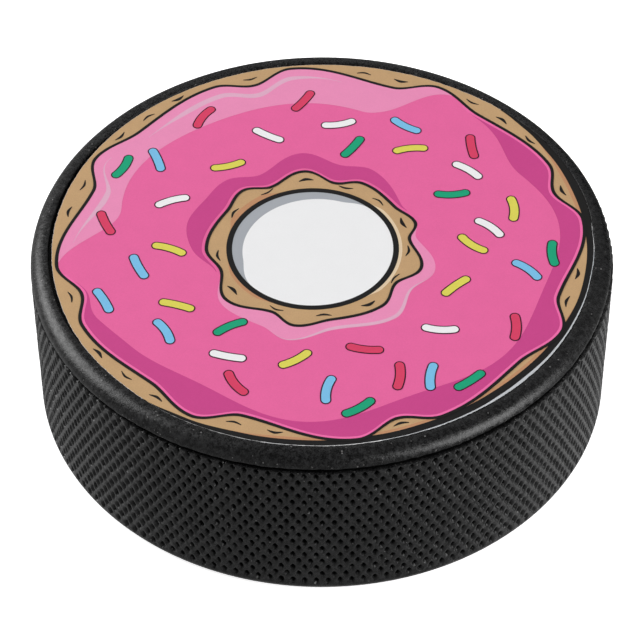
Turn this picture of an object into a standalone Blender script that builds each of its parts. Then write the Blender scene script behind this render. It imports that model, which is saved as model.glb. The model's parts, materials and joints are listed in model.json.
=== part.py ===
"""Hockey puck: one moulded rubber disc with a thin printed film bonded into a
shallow recess in its top face.  The film is built up as it is laid down: a
white film disc, then flat ink coats, then black line coats.

Frame: metres, +Z up, origin at the centre of the underside, +Z along the
disc's axis.  Sizes below are in millimetres and are scaled once, in mm().
"""

import math

import bmesh
import bpy

# ---------------------------------------------------------------- dimensions
PUCK_D = 76.2            # regulation 3 in diameter
PUCK_H = 25.4            # regulation 1 in thickness
R = PUCK_D / 2
TOP_ROUND = 2.2          # rounding between side and top face
LOW_ROUND = 2.0          # rounding between side and underside
BAND_TOP = 22.25         # textured grip band on the side
BAND_LOW = 1.85
GROOVE_W = 0.45          # parting groove between the bead and the grip band
GROOVE_DEPTH = 0.35

RECESS_R = 35.45         # trim recess that holds the film
RECESS_DEPTH = 0.30
FILM_R = 35.30           # printed film

COAT = 0.04              # thickness of each coat
CLEAR = 0.02             # clearance between coats
FLOOR = PUCK_H - RECESS_DEPTH

# The picture is a ring doughnut.  Its circles are (centre x, centre y, radius).
HOLE_LINE_OUT = (-1.2, -1.0, 11.2)     # black ring round the hole, outside
HOLE_LINE_IN = (-1.2, -1.0, 10.5)      # and inside
HOLE_LIGHT = (-0.6, -1.5, 9.7)         # lit part of the hole
EDGE_LINE_IN = (-0.7, 0.9, 35.05)      # inner side of the outer black line
LINE = 0.34                            # black line width

# The icing's outer edge: twelve drips, as (azimuth in degrees, radius).
ICING_OUT = (
    [(30 * k + (7, -4, 2)[k % 3], (34.6, 33.9, 34.4)[k % 3]) for k in range(12)]
    + [(30 * k + 15 + (2, 4, -3)[k % 3], (32.2, 32.7, 31.9)[k % 3]) for k in range(12)]
)
# The icing's inner edge: nine drips, as (azimuth, margin outside the hole line).
ICING_IN = (
    [(40 * k + (3, -5, 1)[k % 3], (1.5, 2.0, 1.3)[k % 3]) for k in range(9)]
    + [(40 * k + 20 + (-3, 4, 0)[k % 3], (3.0, 2.6, 3.3)[k % 3]) for k in range(9)]
)

BODY_STEPS = 80          # sides round the rubber disc
RING_STEPS = 144         # sides round a wavy coat
PLAIN_STEPS = 72         # sides round a plain coat


def mm(value):
    return value / 1000.0


# ------------------------------------------------------------------ helpers
def wave(knots):
    """A smooth closed function of azimuth that eases from knot to knot."""
    order = sorted(((a % 360.0), r) for a, r in knots)
    order = order + [(order[0][0] + 360.0, order[0][1])]

    def radius(azimuth):
        a = azimuth % 360.0
        if a < order[0][0]:
            a += 360.0
        for (a0, r0), (a1, r1) in zip(order, order[1:]):
            if a0 <= a <= a1:
                t = (a - a0) / (a1 - a0)
                return r0 + (r1 - r0) * (0.5 - 0.5 * math.cos(math.pi * t))
        return order[0][1]

    return radius


def circle(cx, cy, r):
    """Distance from the disc's axis to an off-centre circle, by azimuth."""

    def radius(azimuth):
        a = math.radians(azimuth)
        along = cx * math.cos(a) + cy * math.sin(a)
        across = cx * cx + cy * cy - along * along
        return along + math.sqrt(r * r - across)

    return radius


def material(name, colour, roughness, metallic=0.0):
    mat = bpy.data.materials.new(name)
    mat.use_nodes = True
    shader = mat.node_tree.nodes["Principled BSDF"]
    shader.inputs["Base Color"].default_value = (*colour, 1.0)
    shader.inputs["Roughness"].default_value = roughness
    shader.inputs["Metallic"].default_value = metallic
    return mat


def finish(name, bm, mat, sharp=35.0):
    bmesh.ops.recalc_face_normals(bm, faces=bm.faces)
    mesh = bpy.data.meshes.new(name)
    bm.to_mesh(mesh)
    bm.free()
    mesh.shade_smooth()
    mesh.set_sharp_from_angle(angle=math.radians(sharp))
    mesh.materials.append(mat)
    obj = bpy.data.objects.new(name, mesh)
    bpy.context.scene.collection.objects.link(obj)
    obj.parent = root
    return obj


def turned(name, profile, steps, mat):
    """A solid of revolution. The profile runs from axis to axis."""
    bm = bmesh.new()
    rings = []
    for r, z in profile:
        if r == 0.0:
            rings.append([bm.verts.new((0.0, 0.0, mm(z)))])
            continue
        ring = []
        for i in range(steps):
            a = 2 * math.pi * i / steps
            ring.append(bm.verts.new((mm(r) * math.cos(a), mm(r) * math.sin(a), mm(z))))
        rings.append(ring)
    for low, high in zip(rings, rings[1:]):
        for i in range(steps):
            j = (i + 1) % steps
            if len(low) == 1:
                bm.faces.new((low[0], high[i], high[j]))
            elif len(high) == 1:
                bm.faces.new((low[i], high[0], low[j]))
            else:
                bm.faces.new((low[i], high[i], high[j], low[j]))
    return finish(name, bm, mat)


def coat_ring(name, level, inner, outer, steps, mat):
    """A flat closed ring between two radii that are functions of azimuth."""
    z0, z1 = coat_span(level)
    bm = bmesh.new()
    loops = []
    for radius, z in ((inner, z0), (outer, z0), (outer, z1), (inner, z1)):
        loop = []
        for i in range(steps):
            deg = 360.0 * i / steps
            a = math.radians(deg)
            r = mm(radius(deg))
            loop.append(bm.verts.new((r * math.cos(a), r * math.sin(a), mm(z))))
        loops.append(loop)
    for k in range(4):
        one, two = loops[k], loops[(k + 1) % 4]
        for i in range(steps):
            j = (i + 1) % steps
            bm.faces.new((one[i], one[j], two[j], two[i]))
    return finish(name, bm, mat)


def coat_crescent(name, level, inner, outer, start, stop, steps, least, mat):
    """A flat closed crescent between two radii, from start to stop degrees."""
    z0, z1 = coat_span(level)
    bm = bmesh.new()
    rows = []
    for i in range(steps + 1):
        deg = start + (stop - start) * i / steps
        a = math.radians(deg)
        ri, ro = inner(deg), outer(deg)
        if ro - ri < least:
            ri = ro - least
        rows.append([
            bm.verts.new((mm(r) * math.cos(a), mm(r) * math.sin(a), mm(z)))
            for r, z in ((ri, z0), (ro, z0), (ro, z1), (ri, z1))
        ])
    for one, two in zip(rows, rows[1:]):
        for k in range(4):
            m = (k + 1) % 4
            bm.faces.new((one[k], two[k], two[m], one[m]))
    bm.faces.new(rows[0])
    bm.faces.new(rows[-1])
    return finish(name, bm, mat)


def coat_span(level):
    """Bottom and top of a coat, counted up from the film itself."""
    bottom = FLOOR + CLEAR + level * (COAT + CLEAR)
    return bottom, bottom + COAT


def arc(cx, cz, r, start, stop, count):
    """Points on an arc of the profile, angles in degrees from +X."""
    return [
        (cx + r * math.cos(math.radians(start + (stop - start) * i / count)),
         cz + r * math.sin(math.radians(start + (stop - start) * i / count)))
        for i in range(count + 1)
    ]


# -------------------------------------------------------------------- scene
for old in list(bpy.data.objects):
    bpy.data.objects.remove(old, do_unlink=True)

root = bpy.data.objects.new("puck_origin", None)
bpy.context.scene.collection.objects.link(root)

rubber = material("rubber_black", (0.030, 0.030, 0.031), 0.55)
white = material("film_white", (0.80, 0.80, 0.80), 0.45)
tan = material("ink_tan", (0.48, 0.32, 0.18), 0.50)
pink = material("ink_pink", (0.75, 0.13, 0.34), 0.50)
grey = material("ink_grey", (0.37, 0.40, 0.43), 0.50)
black = material("ink_black", (0.022, 0.022, 0.022), 0.45)

# --------------------------------------------------- the moulded rubber disc
groove_z = BAND_TOP + GROOVE_W
profile = [(0.0, 0.0)]
profile += arc(R - LOW_ROUND, LOW_ROUND, LOW_ROUND, -90, 0, 5)
profile += [
    (R, BAND_TOP),
    (R - GROOVE_DEPTH, BAND_TOP + GROOVE_W / 2),
    (R, groove_z),
]
profile += arc(R - TOP_ROUND, PUCK_H - TOP_ROUND, TOP_ROUND, 0, 90, 6)
profile += [
    (RECESS_R, PUCK_H),
    (RECESS_R, FLOOR),
    (0.0, FLOOR),
]
turned("puck_body", profile, BODY_STEPS, rubber)

# --------------------------------------------------------- the printed film
film_low, film_high = coat_span(0)
turned(
    "print_film",
    [(0.0, film_low), (FILM_R, film_low), (FILM_R, film_high), (0.0, film_high)],
    PLAIN_STEPS,
    white,
)

hole_out = circle(*HOLE_LINE_OUT)
hole_in = circle(*HOLE_LINE_IN)
hole_light = circle(*HOLE_LIGHT)
edge_in = circle(*EDGE_LINE_IN)
icing_out = wave(ICING_OUT)
icing_margin = wave(ICING_IN)


def icing_in(deg):
    return hole_out(deg) + icing_margin(deg)



def shifted(radius, by, limit=FILM_R - 0.06):
    return lambda deg: min(radius(deg) + by, limit)


def edge_out(deg):
    return FILM_R - 0.10


coat_ring("print_dough", 1, shifted(hole_in, 0.2), edge_out, RING_STEPS, tan)
coat_crescent("print_hole_shade", 1, hole_light, shifted(hole_in, 0.1),
              55, 212, 36, 0.10, grey)
coat_crescent("print_edge_line", 2, edge_in, edge_out, -128, 22, 40, 0.12, black)
coat_ring("print_hole_line", 2, hole_in, hole_out, PLAIN_STEPS, black)
coat_ring("print_icing", 3, icing_in, icing_out, RING_STEPS, pink)
coat_ring("print_icing_outer_line", 4, shifted(icing_out, -LINE / 2),
          shifted(icing_out, LINE / 2), RING_STEPS, black)
coat_ring("print_icing_inner_line", 4, shifted(icing_in, -LINE / 2),
          shifted(icing_in, LINE / 2), RING_STEPS, black)
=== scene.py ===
import json
import math

import bpy
import numpy as np
from mathutils import Matrix, Vector, noise
from mathutils.geometry import tessellate_polygon

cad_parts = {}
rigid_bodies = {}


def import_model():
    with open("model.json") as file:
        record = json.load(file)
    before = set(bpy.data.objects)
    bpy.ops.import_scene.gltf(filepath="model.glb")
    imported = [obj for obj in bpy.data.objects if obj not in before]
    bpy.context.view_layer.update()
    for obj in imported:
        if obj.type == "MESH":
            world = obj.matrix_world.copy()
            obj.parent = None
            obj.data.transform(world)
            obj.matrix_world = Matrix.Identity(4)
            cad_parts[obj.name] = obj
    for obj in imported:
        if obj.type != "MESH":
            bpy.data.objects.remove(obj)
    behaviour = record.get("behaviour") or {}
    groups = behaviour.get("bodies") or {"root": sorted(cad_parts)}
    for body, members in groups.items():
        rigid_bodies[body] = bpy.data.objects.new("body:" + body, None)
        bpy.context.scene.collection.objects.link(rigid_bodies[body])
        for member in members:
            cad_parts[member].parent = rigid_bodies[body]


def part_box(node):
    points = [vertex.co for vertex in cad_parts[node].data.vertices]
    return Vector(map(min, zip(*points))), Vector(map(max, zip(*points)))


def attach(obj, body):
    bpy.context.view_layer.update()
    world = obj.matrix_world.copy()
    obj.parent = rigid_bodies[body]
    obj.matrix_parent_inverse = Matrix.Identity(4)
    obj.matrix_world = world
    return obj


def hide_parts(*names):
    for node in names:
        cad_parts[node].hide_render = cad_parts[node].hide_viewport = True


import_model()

for left in [o for o in bpy.data.objects if o.name in ("Cube", "Light", "Camera")]:
    bpy.data.objects.remove(left)
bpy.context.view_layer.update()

# Sizes are in millimetres, scaled once when a mesh is made.
low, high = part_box("puck_body")
R = (high.x - low.x) / 2 * 1000          # outer radius
H = high.z * 1000                        # overall height
LAND_R = 35.90                           # inner end of the top rounding
TOP_ROUND = R - LAND_R
LOW_ROUND = 2.0
FLOOR = H - 0.11                         # floor of the trim recess
COAT = 0.008                             # step from one ink coat to the next

# ------------------------------------------------------------------ helpers


def eased(knots, closed=True):
    """A function of azimuth that eases from crest to dip to crest."""
    if closed:
        order = sorted(((a % 360.0), r) for a, r in knots)
        order = order + [(order[0][0] + 360.0, order[0][1])]
    else:
        order = sorted(knots)

    def radius(azimuth):
        a = azimuth
        if closed:
            a = azimuth % 360.0
            if a < order[0][0]:
                a += 360.0
        if a <= order[0][0]:
            return order[0][1]
        for (a0, r0), (a1, r1) in zip(order, order[1:]):
            if a <= a1:
                t = (a - a0) / (a1 - a0)
                return r0 + (r1 - r0) * (0.5 - 0.5 * math.cos(math.pi * t))
        return order[-1][1]

    return radius


def smooth_through(knots):
    """A function that passes smoothly through (azimuth, radius) knots."""
    order = sorted(knots)
    xs = [k[0] for k in order]
    ys = [k[1] for k in order]
    slopes = []
    for i in range(len(xs)):
        a, b = max(0, i - 1), min(len(xs) - 1, i + 1)
        slopes.append((ys[b] - ys[a]) / (xs[b] - xs[a]))

    def radius(a):
        if a <= xs[0]:
            return ys[0]
        for i in range(len(xs) - 1):
            if a <= xs[i + 1]:
                w = xs[i + 1] - xs[i]
                t = (a - xs[i]) / w
                return ((2 * t**3 - 3 * t**2 + 1) * ys[i] + (t**3 - 2 * t**2 + t) * w * slopes[i]
                        + (-2 * t**3 + 3 * t**2) * ys[i + 1] + (t**3 - t**2) * w * slopes[i + 1])
        return ys[-1]

    return radius


def off_centre(cx, cy, r):
    """Distance from the axis to an off-centre circle, by azimuth."""

    def radius(azimuth):
        a = math.radians(azimuth)
        along = cx * math.cos(a) + cy * math.sin(a)
        return along + math.sqrt(r * r - (cx * cx + cy * cy - along * along))

    return radius


def polar(az, r):
    a = math.radians(az)
    return (r * math.cos(a), r * math.sin(a))


def make(name, verts, faces, mats, sharp=None, index=None):
    mesh = bpy.data.meshes.new(name)
    mesh.from_pydata([(x / 1000, y / 1000, z / 1000) for x, y, z in verts], [], faces)
    mesh.validate()
    if sharp is None:
        mesh.shade_flat()
    else:
        mesh.shade_smooth()
        mesh.set_sharp_from_angle(angle=math.radians(sharp))
    for m in mats:
        mesh.materials.append(m)
    if index is not None:
        mesh.polygons.foreach_set("material_index", index)
    mesh.update()
    obj = bpy.data.objects.new(name, mesh)
    bpy.context.scene.collection.objects.link(obj)
    return obj


def plates(name, shapes, level, mat, replaces=(), thick=COAT):
    """Closed flat plates, one for each outline, all on one coat level."""
    z1 = FLOOR + level * COAT
    z0 = z1 - thick
    verts, faces = [], []
    for outline in shapes:
        n = len(outline)
        area = sum(outline[i - 1][0] * outline[i][1] - outline[i][0] * outline[i - 1][1] for i in range(n))
        pts = list(outline) if area > 0 else list(reversed(outline))
        base = len(verts)
        verts += [(x, y, z0) for x, y in pts] + [(x, y, z1) for x, y in pts]
        for tri in tessellate_polygon([[Vector((x, y, 0)) for x, y in pts]]):
            a, b, c = tri
            (ax, ay), (bx, by), (cx, cy) = pts[a], pts[b], pts[c]
            if (bx - ax) * (cy - ay) - (by - ay) * (cx - ax) < 0:
                b, c = c, b
            faces.append((base + n + a, base + n + b, base + n + c))
            faces.append((base + a, base + c, base + b))
        for i in range(n):
            j = (i + 1) % n
            faces.append((base + i, base + j, base + n + j, base + n + i))
    return place(make(name, verts, faces, [mat]), replaces)


def ring(name, inner, outer, level, mat, replaces=(), steps=1440, thick=COAT):
    """A closed flat ring between two radii that are functions of azimuth."""
    z1 = FLOOR + level * COAT
    z0 = z1 - thick
    verts, faces = [], []
    for i in range(steps):
        az = 360.0 * i / steps
        ri, ro = inner(az), outer(az)
        ro = max(ro, ri + 0.004)
        for r, z in ((ri, z0), (ro, z0), (ro, z1), (ri, z1)):
            x, y = polar(az, r)
            verts.append((x, y, z))
    for i in range(steps):
        a, b = 4 * i, 4 * ((i + 1) % steps)
        for k in range(4):
            m = (k + 1) % 4
            faces.append((a + k, b + k, b + m, a + m))
    return place(make(name, verts, faces, [mat]), replaces)


def place(obj, replaces=()):
    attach(obj, "root")
    if replaces:
        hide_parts(*replaces)
    return obj


def sector(inner, outer, start, stop, step=0.25):
    """Outline of the strip between two radii, from start to stop degrees."""
    n = max(8, int(abs(stop - start) / step))
    azs = [start + (stop - start) * i / n for i in range(n + 1)]
    there = [polar(a, outer(a)) for a in azs]
    back = [polar(a, inner(a)) for a in reversed(azs)]
    return tidy(there + back)


def tidy(points):
    """Drops points that lie on their neighbour."""
    out = []
    for p in points:
        if not out or math.dist(p, out[-1]) > 0.004:
            out.append(p)
    while len(out) > 3 and math.dist(out[0], out[-1]) <= 0.004:
        out.pop()
    return out


def flowing(points, closed=True, per=10, corners=()):
    """A smooth path through points; it turns sharply at the listed corners."""
    n = len(points)
    out = []
    last = n if closed else n - 1
    for i in range(last):
        p1, p2 = points[i], points[(i + 1) % n]
        p0 = points[i - 1] if (closed or i > 0) else p1
        p3 = points[(i + 2) % n] if (closed or i + 2 < n) else p2
        if i in corners:
            p0 = p1
        if (i + 1) % n in corners:
            p3 = p2
        for k in range(per):
            t = k / per
            out.append(tuple(
                0.5 * (2 * b + (c - a) * t + (2 * a - 5 * b + 4 * c - d) * t * t
                       + (3 * b - a - 3 * c + d) * t**3)
                for a, b, c, d in zip(p0, p1, p2, p3)))
    if not closed:
        out.append(tuple(points[-1]))
    return out


def stroke(az_r, widths):
    """A brush stroke through polar points, with a width at each point."""
    pts = [polar(a, r) for a, r in az_r]
    both = flowing([(x, y, w) for (x, y), w in zip(pts, widths)], closed=False, per=8)
    left, right = [], []
    for i, (x, y, w) in enumerate(both):
        ax, ay, _ = both[max(0, i - 1)]
        bx, by, _ = both[min(len(both) - 1, i + 1)]
        d = math.hypot(bx - ax, by - ay) or 1.0
        nx, ny = -(by - ay) / d, (bx - ax) / d
        w = max(w, 0.03)
        left.append((x + nx * w / 2, y + ny * w / 2))
        right.append((x - nx * w / 2, y - ny * w / 2))
    return tidy(left + right[::-1])


def capsule(start, stop, bulge, half):
    """A rounded bar from start to stop (polar points), bent sideways by bulge."""
    (x0, y0), (x1, y1) = polar(*start), polar(*stop)
    length = math.hypot(x1 - x0, y1 - y0)
    ux, uy = (x1 - x0) / length, (y1 - y0) / length
    cap = 0.62
    centre = []
    for i in range(17):
        t = i / 16
        s = cap + (length - 2 * cap) * t
        b = bulge * (1 - (2 * t - 1) ** 2)
        centre.append((x0 + ux * s - uy * b, y0 + uy * s + ux * b))
    left, right = [], []
    for i, (x, y) in enumerate(centre):
        ax, ay = centre[max(0, i - 1)]
        bx, by = centre[min(16, i + 1)]
        d = math.hypot(bx - ax, by - ay)
        nx, ny = -(by - ay) / d, (bx - ax) / d
        left.append((x + nx * half, y + ny * half))
        right.append((x - nx * half, y - ny * half))

    def cap_points(centre_point, first, sweep):
        cx, cy = centre_point
        a0 = math.atan2(first[1] - cy, first[0] - cx)
        return [(cx + half * math.cos(a0 + sweep * k / 12), cy + half * math.sin(a0 + sweep * k / 12))
                for k in range(1, 12)]

    end = cap_points(centre[-1], left[-1], -math.pi)
    begin = cap_points(centre[0], right[0], -math.pi)
    return tidy(left + end + right[::-1] + begin)


# ---------------------------------------------------------------- materials


class Nodes:
    """Small helper that adds and links shader nodes."""

    def __init__(self, name):
        self.mat = bpy.data.materials.new(name)
        self.mat.use_nodes = True
        self.tree = self.mat.node_tree
        self.shader = self.tree.nodes["Principled BSDF"]
        coord = self.tree.nodes.new("ShaderNodeTexCoord")
        scale = self.tree.nodes.new("ShaderNodeMapping")
        scale.inputs["Scale"].default_value = (1000, 1000, 1000)   # object space in mm
        self.tree.links.new(coord.outputs["Object"], scale.inputs["Vector"])
        self.mm = scale.outputs["Vector"]

    def add(self, kind, **inputs):
        node = self.tree.nodes.new(kind)
        for key, value in inputs.items():
            self.put(node, key.replace("_", " "), value)
        return node

    def put(self, node, key, value):
        socket = node.inputs[key]
        if isinstance(value, bpy.types.NodeSocket):
            self.tree.links.new(value, socket)
        else:
            socket.default_value = value

    def noise(self, scale, detail=2.0, roughness=0.5, distortion=0.0):
        n = self.add("ShaderNodeTexNoise", Vector=self.mm, Scale=scale, Detail=detail,
                     Roughness=roughness, Distortion=distortion)
        return n.outputs["Fac"]

    def remap(self, value, a, b, c, d):
        n = self.add("ShaderNodeMapRange", Value=value)
        n.inputs["From Min"].default_value = a
        n.inputs["From Max"].default_value = b
        n.inputs["To Min"].default_value = c
        n.inputs["To Max"].default_value = d
        return n.outputs["Result"]

    def blend(self, fac, one, two):
        n = self.tree.nodes.new("ShaderNodeMix")
        n.data_type = "RGBA"
        self.put(n, 0, fac)
        for key, value in ((6, one), (7, two)):
            if isinstance(value, tuple):
                value = (*value, 1.0) if len(value) == 3 else value
            self.put(n, key, value)
        return n.outputs[2]

    def math(self, op, a, b=0.0):
        n = self.tree.nodes.new("ShaderNodeMath")
        n.operation = op
        self.put(n, 0, a)
        self.put(n, 1, b)
        return n.outputs[0]

    def bump(self, height, strength, distance):
        n = self.add("ShaderNodeBump", Height=height, Strength=strength, Distance=distance)
        self.put(self.shader, "Normal", n.outputs["Normal"])
        return n


def linear(*rgb):
    return tuple((c / 255 / 12.92) if c <= 10 else ((c / 255 + 0.055) / 1.055) ** 2.4 for c in rgb)


EXPOSE = 0.90        # what a print colour is multiplied by, for the light it is seen in


def ink(name, rgb, roughness=0.52, vary=0.05, grain=0.6, spec=0.28):
    """A printed coat: even colour with faint mottle, fine dots and grain."""
    n = Nodes(name)
    base = tuple(c * EXPOSE for c in linear(*rgb))
    mottle = n.remap(n.noise(0.35, 3, 0.55), 0.3, 0.7, -0.5, 0.5)
    dots = n.remap(n.noise(5.5, 2, 0.6), 0.3, 0.7, -0.5, 0.5)
    mix = n.math("ADD", n.math("MULTIPLY", mottle, 0.45), n.math("MULTIPLY", dots, 0.75))
    fac = n.math("ADD", mix, 0.5)
    dark = tuple(c * (1 - vary) for c in base)
    light = tuple(min(1.0, c * (1 + vary)) for c in base)
    n.put(n.shader, "Base Color", n.blend(fac, dark, light))
    n.put(n.shader, "Roughness", n.remap(n.noise(2.2, 3, 0.6), 0.3, 0.7, roughness - 0.07, roughness + 0.07))
    n.shader.inputs["Specular IOR Level"].default_value = spec
    n.bump(n.noise(9.0, 3, 0.6), grain * 0.25, 0.00006)
    return n.mat


def rubber(name, colour, roughness):
    """Moulded black rubber: mottled bloom, fine grain, dust, painted shade in the pits and groove, a painted
    highlight on the ribs and painted glints below the groove lip.
    """
    n = Nodes(name)
    bloom = n.remap(n.noise(0.5, 4, 0.6, 0.4), 0.3, 0.7, 0.0, 1.0)
    mottle = n.remap(n.noise(1.7, 5, 0.7, 0.3), 0.36, 0.64, 0.0, 1.0)
    grain = n.noise(5.0, 3, 0.65)
    fine = n.remap(grain, 0.36, 0.64, 0.0, 1.0)
    # painted shade in the pits and the groove: the deeper the surface lies inside the outer cylinder, the darker and
    # less shiny it is made
    split = n.add("ShaderNodeSeparateXYZ", Vector=n.mm)
    x, y, z = (split.outputs[k] for k in "XYZ")
    reach = n.math("SQRT", n.math("ADD", n.math("MULTIPLY", x, x), n.math("MULTIPLY", y, y)))
    inside = n.remap(reach, R - 0.24, R - 0.60, 0.0, 1.0)
    band = n.math("MULTIPLY", n.remap(z, 1.70, 2.10, 0.0, 1.0), n.remap(z, 23.95, 24.15, 1.0, 0.0))
    pit = n.math("MULTIPLY", inside, band)
    # share of the surface left clear of the painted pit shade
    clear_of_pit_shade = n.math("SUBTRACT", 1.0, n.math("MULTIPLY", pit, 0.86))
    dark = tuple(c * 0.30 for c in colour)
    light = tuple(c * 3.0 for c in colour)
    tone = n.math("ADD", n.math("MULTIPLY", bloom, 0.25),
                  n.math("ADD", n.math("MULTIPLY", mottle, 0.45), n.math("MULTIPLY", fine, 0.30)))
    tone = n.math("MULTIPLY", n.math("MULTIPLY", tone, tone), clear_of_pit_shade)
    base = n.blend(tone, dark, light)
    # painted highlight: the ribs between the pits are greyed a little, more in places
    rib_highlight = n.math("MULTIPLY", n.math("MULTIPLY", band, clear_of_pit_shade), n.remap(fine, 0.0, 1.0, 0.06, 0.30))
    base = n.blend(rib_highlight, base, (0.042, 0.042, 0.043))
    cells = n.add("ShaderNodeTexVoronoi", Vector=n.mm, Scale=1.5, Randomness=1.0)
    speck = n.remap(cells.outputs["Distance"], 0.08, 0.17, 1.0, 0.0)
    pick = n.remap(n.noise(0.9, 2, 0.5), 0.54, 0.60, 0.0, 1.0)
    dust_and_glints = n.math("MULTIPLY", speck, n.math("MULTIPLY", pick, clear_of_pit_shade))
    # painted glints: light grey bits on the nubs just below the groove lip, merged with the dust
    glint_cells = n.add("ShaderNodeTexVoronoi", Vector=n.mm, Scale=2.6, Randomness=1.0)
    lip_glints = n.math("MULTIPLY", n.remap(glint_cells.outputs["Distance"], 0.12, 0.26, 1.0, 0.0),
                   n.remap(n.noise(1.4, 2, 0.5), 0.52, 0.58, 0.0, 1.0))
    lip = n.math("MULTIPLY", n.remap(z, 22.7, 23.1, 0.0, 1.0), n.remap(z, 24.2, 24.5, 1.0, 0.0))
    lip_glints = n.math("MULTIPLY", lip_glints, n.math("MULTIPLY", lip, clear_of_pit_shade))
    dust_and_glints = n.math("MAXIMUM", dust_and_glints, n.math("MULTIPLY", lip_glints, 0.75))
    n.put(n.shader, "Base Color", n.blend(n.math("MULTIPLY", dust_and_glints, 0.8), base, (0.26, 0.255, 0.25)))
    rough = n.math("ADD", n.remap(grain, 0.3, 0.7, -0.10, 0.10), n.math("MULTIPLY", mottle, 0.12))
    n.put(n.shader, "Roughness", n.math("ADD", rough, roughness - 0.06))
    shine = n.math("MULTIPLY", n.remap(mottle, 0.0, 1.0, 0.30, 0.58), clear_of_pit_shade)
    n.put(n.shader, "Specular IOR Level", shine)
    height = n.math("ADD", n.math("MULTIPLY", mottle, 0.6), n.math("MULTIPLY", grain, 0.5))
    n.bump(height, 0.22, 0.00012)
    return n.mat


rubber_black = rubber("rubber_black", (0.0075, 0.0075, 0.0078), 0.29)

white_film = ink("film_white", (237, 237, 238), 0.45, 0.015)
tan_ink = ink("ink_tan", (191, 156, 114), vary=0.075)
tan_dark = ink("ink_tan_shade", (188, 138, 101), vary=0.06)
tan_light = ink("ink_tan_light", (222, 200, 168), vary=0.04)
pink_ink = ink("ink_pink", (229, 101, 158), vary=0.035)
pink_rim = ink("ink_pink_rim", (237, 108, 168), vary=0.03)
pink_light = ink("ink_pink_light", (232, 141, 183), vary=0.03)
pink_pale = ink("ink_pink_pale", (222, 171, 196), vary=0.03)
pink_dark = ink("ink_pink_dark", (199, 68, 136), vary=0.03)
grey_ink = ink("ink_grey", (164, 168, 174), vary=0.02)
black_ink = ink("ink_black", (24, 23, 23), roughness=0.45, vary=0.12)
sprinkle_line = ink("ink_sprinkle_line", (48, 14, 32), vary=0.06)
sprinkle_ink = {
    "blue": ink("ink_blue", (121, 189, 229), vary=0.03),
    "red": ink("ink_red", (214, 62, 99), vary=0.04),
    "yellow": ink("ink_yellow", (218, 210, 88), vary=0.04),
    "green": ink("ink_green", (20, 160, 118), vary=0.04),
    "white": ink("ink_white", (238, 238, 239), vary=0.015),
}

# ------------------------------------------------------- moulded rubber disc
STARTS = 160                 # diagonal ribs each way round
PITCH_Z = 2.5                # height over which a rib moves on by one pitch
DEPTH = 0.56                 # depth of the diamond pits
PER = 8                      # mesh steps in a pitch, both ways
AROUND = STARTS * PER


def soft(t):
    t = np.clip(t, 0.0, 1.0)
    return t * t * (3 - 2 * t)


def wander(az, seed, scale, size):
    """Slow random drift round the disc, the same on every run."""
    a = np.radians(az)
    return np.array([noise.noise(Vector((math.cos(t) * scale, math.sin(t) * scale, seed))) for t in a]) * size


# The film was cut by hand: its edge wanders a little, and sits off-centre.
film_cut = eased([
    (180, 35.20), (-165, 35.18), (-150, 35.30), (-136, 35.26), (-120, 35.47), (-105, 35.44),
    (-90, 35.34), (-75, 35.20), (-60, 35.18), (-30, 35.18), (-14, 35.25), (0, 35.50),
    (15, 35.78), (30, 35.82), (45, 35.62), (60, 35.36), (75, 35.25), (90, 35.20), (135, 35.22), (165, 35.18),
])


def film_edge(az):
    t = math.radians(az)
    x, y = math.cos(t), math.sin(t)
    return (film_cut(az) + 0.045 * noise.noise(Vector((x * 30, y * 30, 40.0)))
            + 0.045 * noise.noise(Vector((x * 85, y * 85, 50.0))))


def left_side(az):
    """1 on the left, where the film leaves a gap in its recess, else 0."""
    return float(soft((-math.cos(math.radians(az + 4)) - 0.78) / 0.16))


def recess_edge(az):
    """Wall of the trim recess."""
    return min(max(film_cut(az) + 0.08 + 0.44 * left_side(az), 35.40), 35.87)


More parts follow.
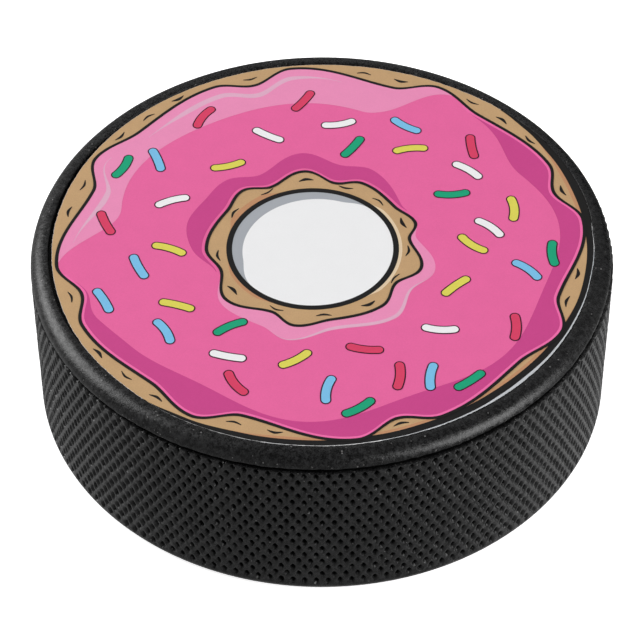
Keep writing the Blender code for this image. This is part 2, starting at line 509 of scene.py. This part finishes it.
def make_body():
    step = 360.0 / AROUND
    az = np.arange(AROUND) * step
    # The parting groove under the bead lies a little askew, and wobbles.
    groove = 23.38 + 0.41 * np.cos(np.radians(az))
    groove += wander(az, 3.1, 2.2, 0.05) + wander(az, 7.7, 17.0, 0.05) + wander(az, 9.2, 60.0, 0.06)
    wide = 1.0 + wander(az, 5.5, 9.0, 0.25) + wander(az, 6.5, 45.0, 0.35)

    # grip band, bottom to top, on rows that hit every rib and pit centre
    rows = []                                    # each row: (radius array, height array)
    step_z = PITCH_Z / PER
    z_low, regular = 1.875, 67
    shift = wander(az, 1.3, 5.0, 0.07) + wander(az, 2.3, 14.0, 0.05)
    band_top = np.maximum(groove - 0.26 * wide, z_low + step_z * (regular - 1) + 0.04)
    last = z_low + step_z * (regular - 1)
    for k in range(regular + 2):
        if k < regular:
            z = np.full(AROUND, z_low + step_z * k)
        else:
            z = last + (band_top - last) * (k - regular + 1) / 2
        u = az / 360.0 * STARTS + z / PITCH_Z + shift
        v = az / 360.0 * STARTS - z / PITCH_Z + shift * 0.4
        du = u - np.floor(u) - 0.5
        dv = v - np.floor(v) - 0.5
        diamond = 2 * np.maximum(np.abs(du), np.abs(dv))
        oval = np.sqrt((du + dv) ** 2 + (1.15 * (du - dv)) ** 2)
        rho = 0.25 * diamond + 0.75 * oval
        cell = np.floor(u) * 57.31 + np.floor(v) * 13.17
        each = 0.84 + 0.28 * (np.abs(np.sin(cell * 12.9898) * 43758.5453) % 1.0)
        pit = 1 - soft((rho - 0.13) / 0.40)
        fade = soft((z - 1.80) / 0.45)
        worn = np.array([0.03 * noise.noise(Vector((math.cos(t) * 24, math.sin(t) * 24, zz * 0.7)))
                         + 0.075 * noise.noise(Vector((math.cos(t) * 90, math.sin(t) * 90, zz * 2.6)))
                         for t, zz in zip(np.radians(az), z)])
        r = R - 0.03 - (DEPTH * pit * each + 0.34 * (1 - diamond) ** 2) * fade + worn
        rows.append((np.minimum(r, R), z))
    rows.append((np.minimum(rows[-1][0], R - 0.10 + wander(az, 4.4, 40.0, 0.08)), band_top + 0.03))
    rows.append((R - 1.00 + 0 * az, band_top - 0.05))

    cos, sin = np.cos(np.radians(az)), np.sin(np.radians(az))
    points = np.concatenate([np.stack([r * cos, r * sin, z], 1) for r, z in rows])
    radii = np.stack([r for r, z in rows])
    verts = points.tolist()
    faces = []
    i = np.arange(AROUND)
    j = (i + 1) % AROUND
    for k in range(len(rows) - 1):
        one, two = k * AROUND, (k + 1) * AROUND
        rise = radii[k][i] + radii[k + 1][j]
        fall = radii[k][j] + radii[k + 1][i]
        deep = np.minimum.reduce([radii[k][i], radii[k][j], radii[k + 1][i], radii[k + 1][j]]) < R - 0.48
        first = np.where(deep, rise < fall, rise > fall)
        tri_a = np.where(first[:, None], np.stack([one + i, one + j, two + j], 1), np.stack([one + i, one + j, two + i], 1))
        tri_b = np.where(first[:, None], np.stack([one + i, two + j, two + i], 1), np.stack([one + j, two + j, two + i], 1))
        faces += tri_a.tolist() + tri_b.tolist()

    def add_ring(count, radius, height):
        at = len(verts)
        for n in range(count):
            a = 360.0 * n / count
            x, y = polar(a, radius(a))
            verts.append((x, y, height(a)))
        return at

    def join(one, n1, two, n2, flip=False):
        """Joins ring one to ring two, which has as many points or half as many."""
        def face(*f):
            faces.append(tuple(reversed(f)) if flip else f)
        if n1 == n2:
            for n in range(n1):
                m = (n + 1) % n1
                face(one + n, one + m, two + m, two + n)
            return
        for n in range(n2):
            m = (n + 1) % n2
            a, b, c = one + 2 * n, one + 2 * n + 1, one + (2 * n + 2) % n1
            face(a, b, two + n)
            face(b, two + m, two + n)
            face(b, c, two + m)

    def at_groove(a):
        return float(groove[int(round(a / step)) % AROUND])

    def wide_at(a):
        return float(wide[int(round(a / step)) % AROUND])

    def tremble(a, seed, scale, size):
        t = math.radians(a)
        return size * noise.noise(Vector((math.cos(t) * scale, math.sin(t) * scale, seed)))

    # upper wall of the groove, then the bead
    centre_z = H - TOP_ROUND

    def bead_start(a):
        return at_groove(a) + 0.64

    def bead_radius(z):
        return LAND_R + math.sqrt(max(0.0, TOP_ROUND ** 2 - max(0.0, z - centre_z) ** 2)) - 0.01

    at, count = (len(rows) - 1) * AROUND, AROUND
    new = add_ring(count // 2, lambda a: R - 1.00, lambda a: at_groove(a) + 0.40 * wide_at(a))
    join(at, count, new, count // 2)
    at, count = new, count // 2
    for inset, rise, keep in ((0.12, 0.46, 0.5), (0.02, 0.54, 0.3)):
        new = add_ring(count, lambda a: bead_radius(at_groove(a) + rise) - inset + tremble(a, 8.4, 35, 0.03),
                       lambda a: at_groove(a) + rise * (1 - keep + keep * wide_at(a)))
        join(at, count, new, count)
        at = new

    turns = 8
    for k in range(turns + 1):
        def angle(a, k=k):
            low = math.asin(max(0.0, min(1.0, (bead_start(a) - centre_z) / TOP_ROUND)))
            return low + (math.pi / 2 - low) * k / turns
        new = add_ring(320, lambda a: (bead_radius(bead_start(a)) if k == 0 else
                                       LAND_R + (TOP_ROUND - 0.01 * math.cos(angle(a))) * math.cos(angle(a))
                                       + tremble(a, 20.0 + k * 0.15, 4, 0.025) * math.sin(2 * angle(a))),
                       lambda a: (bead_start(a) if k == 0 else centre_z + TOP_ROUND * math.sin(angle(a))))
        join(at, count, new, 320)
        at, count = new, 320
    for radius, height in (
            (lambda a: min(recess_edge(a) + 0.03, LAND_R - 0.005), lambda a: H),
            (lambda a: recess_edge(a), lambda a: H - 0.03),
            (lambda a: recess_edge(a) - 0.01, lambda a: H - 0.16 - 1.20 * left_side(a)),
            (lambda a: film_cut(a) - 0.03, lambda a: H - 0.16 - 1.20 * left_side(a)),
            (lambda a: film_cut(a) - 0.12, lambda a: FLOOR)):
        new = add_ring(count, radius, height)
        join(at, count, new, count)
        at = new
    middle = len(verts)
    verts.append((0.0, 0.0, FLOOR))
    for n in range(count):
        faces.append((at + n, at + (n + 1) % count, middle))

    # lower rounding and underside
    at, count = 0, AROUND
    for rr, zz in ((R - 0.02, 1.62),
                   (R - LOW_ROUND + LOW_ROUND * math.cos(math.radians(22)), LOW_ROUND * (1 - math.sin(math.radians(22))))):
        new = add_ring(count // 2, lambda a: rr, lambda a: zz)
        join(at, count, new, count // 2, True)
        at, count = new, count // 2
    for k in range(1, 5):
        t = math.radians(22 + 68 * k / 4)
        new = add_ring(count, lambda a: R - LOW_ROUND + LOW_ROUND * math.cos(t), lambda a: max(0.0, LOW_ROUND * (1 - math.sin(t))))
        join(at, count, new, count, True)
        at = new
    middle = len(verts)
    verts.append((0.0, 0.0, 0.0))
    for n in range(count):
        faces.append((at + (n + 1) % count, at + n, middle))
    return make("puck_rubber", verts, faces, [rubber_black], sharp=50)


body = place(make_body(), ["puck_body"])

# ------------------------------------------------------------ printed film
# The picture is an iced ring doughnut, drawn from crests, dips and arcs.
icing_out = eased(
    [(30 * k + (7, -4, 2)[k % 3], (34.6, 33.9, 34.4)[k % 3]) for k in range(12)]
    + [(30 * k + 15 + (2, 4, -3)[k % 3], (32.2, 32.7, 31.9)[k % 3]) for k in range(12)])
icing_margin = eased(
    [(40 * k + (3, -5, 1)[k % 3], (1.5, 2.0, 1.3)[k % 3]) for k in range(9)]
    + [(40 * k + 20 + (-3, 4, 0)[k % 3], (3.0, 2.6, 3.3)[k % 3]) for k in range(9)])


def icing_in(az):
    return hole_out(az) + icing_margin(az)


def fade(az, start, stop, over):
    """1 inside a span of azimuth, easing to 0 at both its ends."""
    return float(soft((az - start) / over) * soft((stop - az) / over))


edge_in = eased([
    (47, 35.5), (38, 35.2), (29, 34.9), (14, 34.65), (0, 34.55), (-15, 34.4), (-30, 34.05),
    (-48, 33.85), (-66, 34.0), (-78, 34.2), (-92, 34.45), (-106, 34.6), (-119, 35.0), (-130, 35.4),
    (-180, 35.6), (90, 35.6),
])
edge_out = eased([
    (47, 35.70), (30, 35.90), (15, 35.86), (0, 35.43), (-13, 35.16), (-26, 35.0), (-34, 34.93), (-44, 34.77), (-50, 34.82), (-57, 34.97),
    (-66, 35.04), (-75, 35.12), (-92, 35.29), (-106, 35.41), (-120, 35.46), (-130, 35.45), (-180, 35.6), (90, 35.6),
])
hole_out = off_centre(-1.2, -0.95, 11.25)
hole_in = off_centre(-1.2, -0.95, 10.5)
hole_light = off_centre(-0.6, -1.5, 9.75)
LINE = 0.45


def plus(radius, by, limit=99.0):
    return lambda az: min(radius(az) + by, limit)


def least(*radii):
    return lambda az: min(r(az) for r in radii)


def most(*radii):
    return lambda az: max(r(az) for r in radii)


to_cut = plus(film_edge, -0.005)
plates("print_film_white", [[polar(i / 4, film_edge(i / 4)) for i in range(1440)]], 2, white_film,
       ["print_film"], thick=2 * COAT - 0.003)
ring("print_dough_tan", plus(hole_in, 0.15), least(plus(edge_out, -0.03), plus(to_cut, -0.02)), 3, tan_ink, ["print_dough"])


def shadow_in(az):
    """Lit edge of the shadow in the hole: it closes on the line at both ends."""
    near = float(soft((az - 46) / 26) * soft((222 - az) / 26))
    return hole_in(az) - 0.01 - (hole_in(az) - hole_light(az)) * near


plates("print_hole_shadow", [sector(shadow_in, plus(hole_in, 0.1), 46, 222)], 3, grey_ink,
       ["print_hole_shade"])

# painted shade: the bare film edge in front on the right is printed grey, as if it lay in shadow
film_edge_shade_ink = ink("film_white_painted_shade", (192, 195, 199), 0.50, 0.10)
plates("print_film_white_edge", [sector(plus(edge_out, -0.02), to_cut, -78, -3, 0.2)], 4, film_edge_shade_ink)

# shading of the dough
def strip(edge, depth, start, stop):
    """A sliver along an edge that tapers off at both ends."""
    side = math.copysign(1.0, depth)
    near = plus(edge, -0.04 * side)

    def far(az):
        return edge(az) + 0.03 * side + depth * fade(az, start, stop, 12)

    return sector(far, near, start, stop) if depth < 0 else sector(near, far, start, stop)


shade = [strip(edge_in, -0.40, -110, -20), strip(edge_in, -0.45, 0, 34),
         strip(hole_out, 0.75, 120, 170), strip(hole_out, 0.40, 196, 240)]
plates("print_dough_shade", shade, 4, tan_dark)
plates("print_dough_light", [strip(hole_out, 0.40, -60, 48)], 4, tan_light)

# black line work under the icing
plates("print_edge_line_black", [sector(edge_in, least(edge_out, to_cut), -129, 46.5, 0.2)], 5, black_ink,
       ["print_edge_line"])
ring("print_hole_line_black", hole_in, hole_out, 5, black_ink, ["print_hole_line"])


def crack(az, r, width, turn):
    """A short bent stroke about 2 mm long."""
    a = math.degrees(1.0 / r)
    return stroke([(az - a, r - 0.15 * turn), (az, r + 0.12 * turn), (az + a, r - 0.10 * turn)], [0.10, width, 0.12])


cracks = []
for k, az in enumerate(range(-170, 180, 27)):
    if icing_in(az) - hole_out(az) > 1.5:
        cracks.append(crack(az, (icing_in(az) + hole_out(az)) / 2, (0.34, 0.50, 0.26)[k % 3], (1, -1)[k % 2]))
for k, az in enumerate(range(-172, 180, 9)):
    limit = min(edge_in(az), film_edge(az))
    if limit - icing_out(az) > 1.6:
        cracks.append(crack(az, (limit + icing_out(az)) / 2, (0.46, 0.30, 0.38)[k % 3], (1, -1)[k % 2]))
plates("print_dough_cracks", cracks, 6, black_ink)

# icing, its tones and its outlines
icing_edge = least(icing_out, to_cut)
ring("print_icing_pink", icing_in, icing_edge, 6, pink_ink, ["print_icing"])
in_rim = least(plus(icing_out, -0.58), plus(to_cut, -0.30))
plates("print_icing_rim", [sector(plus(in_rim, -0.02), plus(icing_edge, -0.02), -170, 54, 0.2)], 7, pink_rim)


def waves(az, *terms):
    return sum(size * math.sin(math.radians(n * az + turn)) for size, n, turn in terms)


def shade_in(az):
    depth = in_rim(az) - 30.2 - waves(az, (0.8, 7, 30), (0.5, 4, 110))
    return in_rim(az) - 0.02 - max(0.0, depth) * fade(az, -168, 52, 26)


plates("print_icing_shade_outer", [sector(shade_in, in_rim, -167.5, 51, 0.2)], 8, pink_dark)
shade_low = plus(icing_in, 0.62)
light_low = plus(icing_in, 0.10)


def shade_high(az):
    return shade_low(az) + 0.05 + (2.6 + waves(az, (0.5, 5, 0))) * fade(az, 26, 204, 40)


def light_high(az):
    return light_low(az) + 0.05 + (2.2 + waves(az, (0.5, 6, 40))) * fade(az, -158, 18, 40)


plates("print_icing_shade_inner", [sector(shade_low, shade_high, 28, 201.5, 0.3)], 8, pink_dark)
plates("print_icing_light_inner", [sector(light_low, light_high, -156.5, 16.5, 0.3)], 7, pink_light)
plates("print_icing_streak_inner",
       [sector(lambda az: light_high(az) - 0.08 - 0.5 * fade(az, -112, -22, 30), plus(light_high, -0.06), -112, -22, 0.3)],
       9, pink_pale)

# light patch over the far left of the icing, with two pale streaks along it
patch_edge = least(plus(icing_out, -0.05), to_cut)


def patch_in(az):
    depth = patch_edge(az) - 27.0 - waves(az, (1.6, 3, 60), (0.9, 5, 10))
    return patch_edge(az) - 0.03 - max(0.0, depth) * fade(az, 56, 188, 22)


def streak(start, stop):
    return sector(lambda az: patch_edge(az) - 1.65 - 0.8 * fade(az, start, stop, 16), plus(patch_edge, -1.6),
                  start, stop, 0.3)


plates("print_icing_light", [sector(patch_in, patch_edge, 58, 186, 0.3)], 8, pink_light)
plates("print_icing_streaks", [streak(85, 139), streak(150, 180)], 9, pink_pale)

line_lo = plus(icing_out, -LINE / 2)
line_hi = plus(icing_out, LINE / 2)
spans = []
run = []
for k in range(0, 3601):
    a = k / 10 - 174
    inside = line_lo(a) < film_edge(a) - 0.05
    if inside:
        run.append(a)
    if (not inside or k == 3600) and len(run) > 3:
        spans.append((run[0], run[-1]))
    if not inside:
        run = []
plates("print_icing_outer_line_black", [sector(line_lo, least(line_hi, to_cut), a0, a1, 0.2) for a0, a1 in spans],
       10, black_ink, ["print_icing_outer_line"])
ring("print_icing_inner_line_black", plus(icing_in, -LINE / 2), plus(icing_in, LINE / 2), 10, black_ink,
     ["print_icing_inner_line"])

# sprinkles, scattered evenly over the icing and kept clear of each other
SPRINKLES = []
taken = []
for k in range(1, 1500):
    turn = 2 * math.pi * ((0.7548777 * k) % 1)
    r = math.sqrt(17.5 ** 2 + (31.0 ** 2 - 17.5 ** 2) * ((0.5698403 * k) % 1))
    way = math.radians(79 * k)
    spots = [(r * math.cos(turn) + t * math.cos(way), r * math.sin(turn) + t * math.sin(way))
             for t in (-2.4, -1.6, -0.8, 0.0, 0.8, 1.6, 2.4)]
    if any(math.hypot(x - u, y - v) < 2.4 for x, y in spots for u, v in taken):
        continue
    ends = [(math.degrees(math.atan2(y, x)), math.hypot(x, y)) for x, y in (spots[0], spots[-1])]
    if any(e < icing_in(az) + 1.3 or e > icing_edge(az) - 1.3 for az, e in ends):
        continue
    n = len(SPRINKLES)
    SPRINKLES.append((ends[0], ends[1], (0.25, -0.2, 0.1)[n % 3], ("blue", "yellow", "red", "white", "green")[n % 5]))
    taken += spots
    if len(SPRINKLES) == 38:
        break
plates("print_sprinkle_lines", [capsule(a, b, bend, 0.70) for a, b, bend, _ in SPRINKLES], 11, sprinkle_line)
for colour, mat in sprinkle_ink.items():
    plates(f"print_sprinkles_{colour}", [capsule(a, b, bend, 0.54) for a, b, bend, c in SPRINKLES if c == colour],
           12, mat)

# ------------------------------------------------------------------- stage
floor_mat = Nodes("stage_floor")
floor_mat.shader.inputs["Base Color"].default_value = (0.93, 0.93, 0.93, 1)
floor_mat.shader.inputs["Roughness"].default_value = 0.9
floor_mat.shader.inputs["Specular IOR Level"].default_value = 0.0
floor_mat.shader.inputs["Emission Color"].default_value = (1, 1, 1, 1)
floor_mat.shader.inputs["Emission Strength"].default_value = 0.80
side = 4000.0
floor = make("stage_floor", [(-side, -side, -0.02), (side, -side, -0.02), (side, side, -0.02), (-side, side, -0.02)],
             [(0, 1, 2, 3)], [floor_mat.mat])
floor.visible_glossy = False
floor.visible_diffuse = False

# ------------------------------------------------------------------- light
world = bpy.data.worlds.new("studio")
bpy.context.scene.world = world
world.use_nodes = True
tree = world.node_tree
backdrop = tree.nodes["Background"]
backdrop.inputs["Color"].default_value = (1, 1, 1, 1)
where = tree.nodes.new("ShaderNodeTexCoord")
split = tree.nodes.new("ShaderNodeSeparateXYZ")
tree.links.new(where.outputs["Generated"], split.inputs["Vector"])
height = tree.nodes.new("ShaderNodeMapRange")
height.inputs["From Min"].default_value = 0.72       # darker overhead, even lower down
height.inputs["From Max"].default_value = 0.88
height.inputs["To Min"].default_value = 0.30
height.inputs["To Max"].default_value = 0.10
tree.links.new(split.outputs["Z"], height.inputs["Value"])
total = height.outputs["Result"]


def patch(azimuth, elevation, outer, inner, low, high, add=False):
    """Makes the backdrop darker or brighter round one direction (half-angles in degrees)."""
    a, e = math.radians(azimuth), math.radians(elevation)
    dot = tree.nodes.new("ShaderNodeVectorMath")
    dot.operation = "DOT_PRODUCT"
    tree.links.new(where.outputs["Generated"], dot.inputs[0])
    dot.inputs[1].default_value = (math.cos(a) * math.cos(e), math.sin(a) * math.cos(e), math.sin(e))
    span = tree.nodes.new("ShaderNodeMapRange")
    span.interpolation_type = "SMOOTHSTEP"
    span.inputs["From Min"].default_value = math.cos(math.radians(outer))
    span.inputs["From Max"].default_value = math.cos(math.radians(inner))
    span.inputs["To Min"].default_value = low
    span.inputs["To Max"].default_value = high
    tree.links.new(dot.outputs["Value"], span.inputs["Value"])
    mixed = tree.nodes.new("ShaderNodeMath")
    mixed.operation = "ADD" if add else "MULTIPLY"
    tree.links.new(total, mixed.inputs[0])
    tree.links.new(span.outputs["Result"], mixed.inputs[1])
    return mixed.outputs[0]


total = patch(56, 0, 30, 14, 1.0, 0.12)              # dark corner behind, to the right
total = patch(97, -5, 16, 6, 1.0, 0.15)              # dark strip straight behind
total = patch(-95, 45, 38, 18, 1.0, 0.35)            # dark room behind the camera
total = patch(-28, 32, 26, 10, 0.0, 1.4, add=True)   # hot middle of the right light
total = patch(150, 20, 26, 12, 0.0, 0.8, add=True)
total = patch(20, -38, 40, 12, 0.0, 0.36, add=True)  # light from the table, right and left
total = patch(160, -36, 36, 12, 0.0, 0.22, add=True)
tree.links.new(total, backdrop.inputs["Strength"])


def softbox(name, azimuth, elevation, distance, width, height, power, glossy=True):
    data = bpy.data.lights.new(name, "AREA")
    data.shape = "RECTANGLE"
    data.size, data.size_y = width, height
    data.energy = power
    obj = bpy.data.objects.new(name, data)
    bpy.context.scene.collection.objects.link(obj)
    a, e = math.radians(azimuth), math.radians(elevation)
    spot = Vector((math.cos(a) * math.cos(e), math.sin(a) * math.cos(e), math.sin(e))) * distance
    obj.location = spot + Vector((0, 0, 0.0254))
    obj.rotation_mode = "QUATERNION"
    obj.rotation_quaternion = spot.to_track_quat("Z", "Y")
    obj.visible_glossy = glossy
    return obj


# Radiance of an area light is power / (pi * area).
softbox("softbox_left", 158, 34, 1.0, 0.72, 0.80, 4.3 * math.pi * 0.72 * 0.80)
softbox("softbox_right", -30, 33, 1.0, 0.70, 0.55, 4.4 * math.pi * 0.70 * 0.55)
softbox("overhead_fill", 0, 89.9, 1.6, 1.2, 1.2, 1.08 * math.pi * 1.2 * 1.2, glossy=False)

# ------------------------------------------------------------------ camera
LENS_PX, DISTANCE, ELEVATION = 2878.12, 0.38467, 0.8011
cam_data = bpy.data.cameras.new("camera")
cam_data.sensor_width = 36.0
cam_data.lens = LENS_PX / 644 * 36.0
cam_data.clip_start, cam_data.clip_end = 0.01, 50
camera = bpy.data.objects.new("camera", cam_data)
bpy.context.scene.collection.objects.link(camera)
back = Vector((0, -math.cos(ELEVATION), math.sin(ELEVATION)))
right = Vector((1, 0, 0))
up = right.cross(-back)
tilt, roll = -0.0042, -0.0015
ahead = -back * math.cos(tilt) + up * math.sin(tilt)
up = up * math.cos(tilt) + back * math.sin(tilt)
side_axis = right * math.cos(roll) + up * math.sin(roll)
up_axis = up * math.cos(roll) - right * math.sin(roll)
turn = Matrix((side_axis, up_axis, -ahead)).transposed()
camera.matrix_world = Matrix.Translation(Vector((0, 0, 0.0127)) + back * DISTANCE) @ turn.to_4x4()
bpy.context.scene.camera = camera
bpy.context.scene.view_settings.view_transform = "Standard"

bpy.context.view_layer.update()
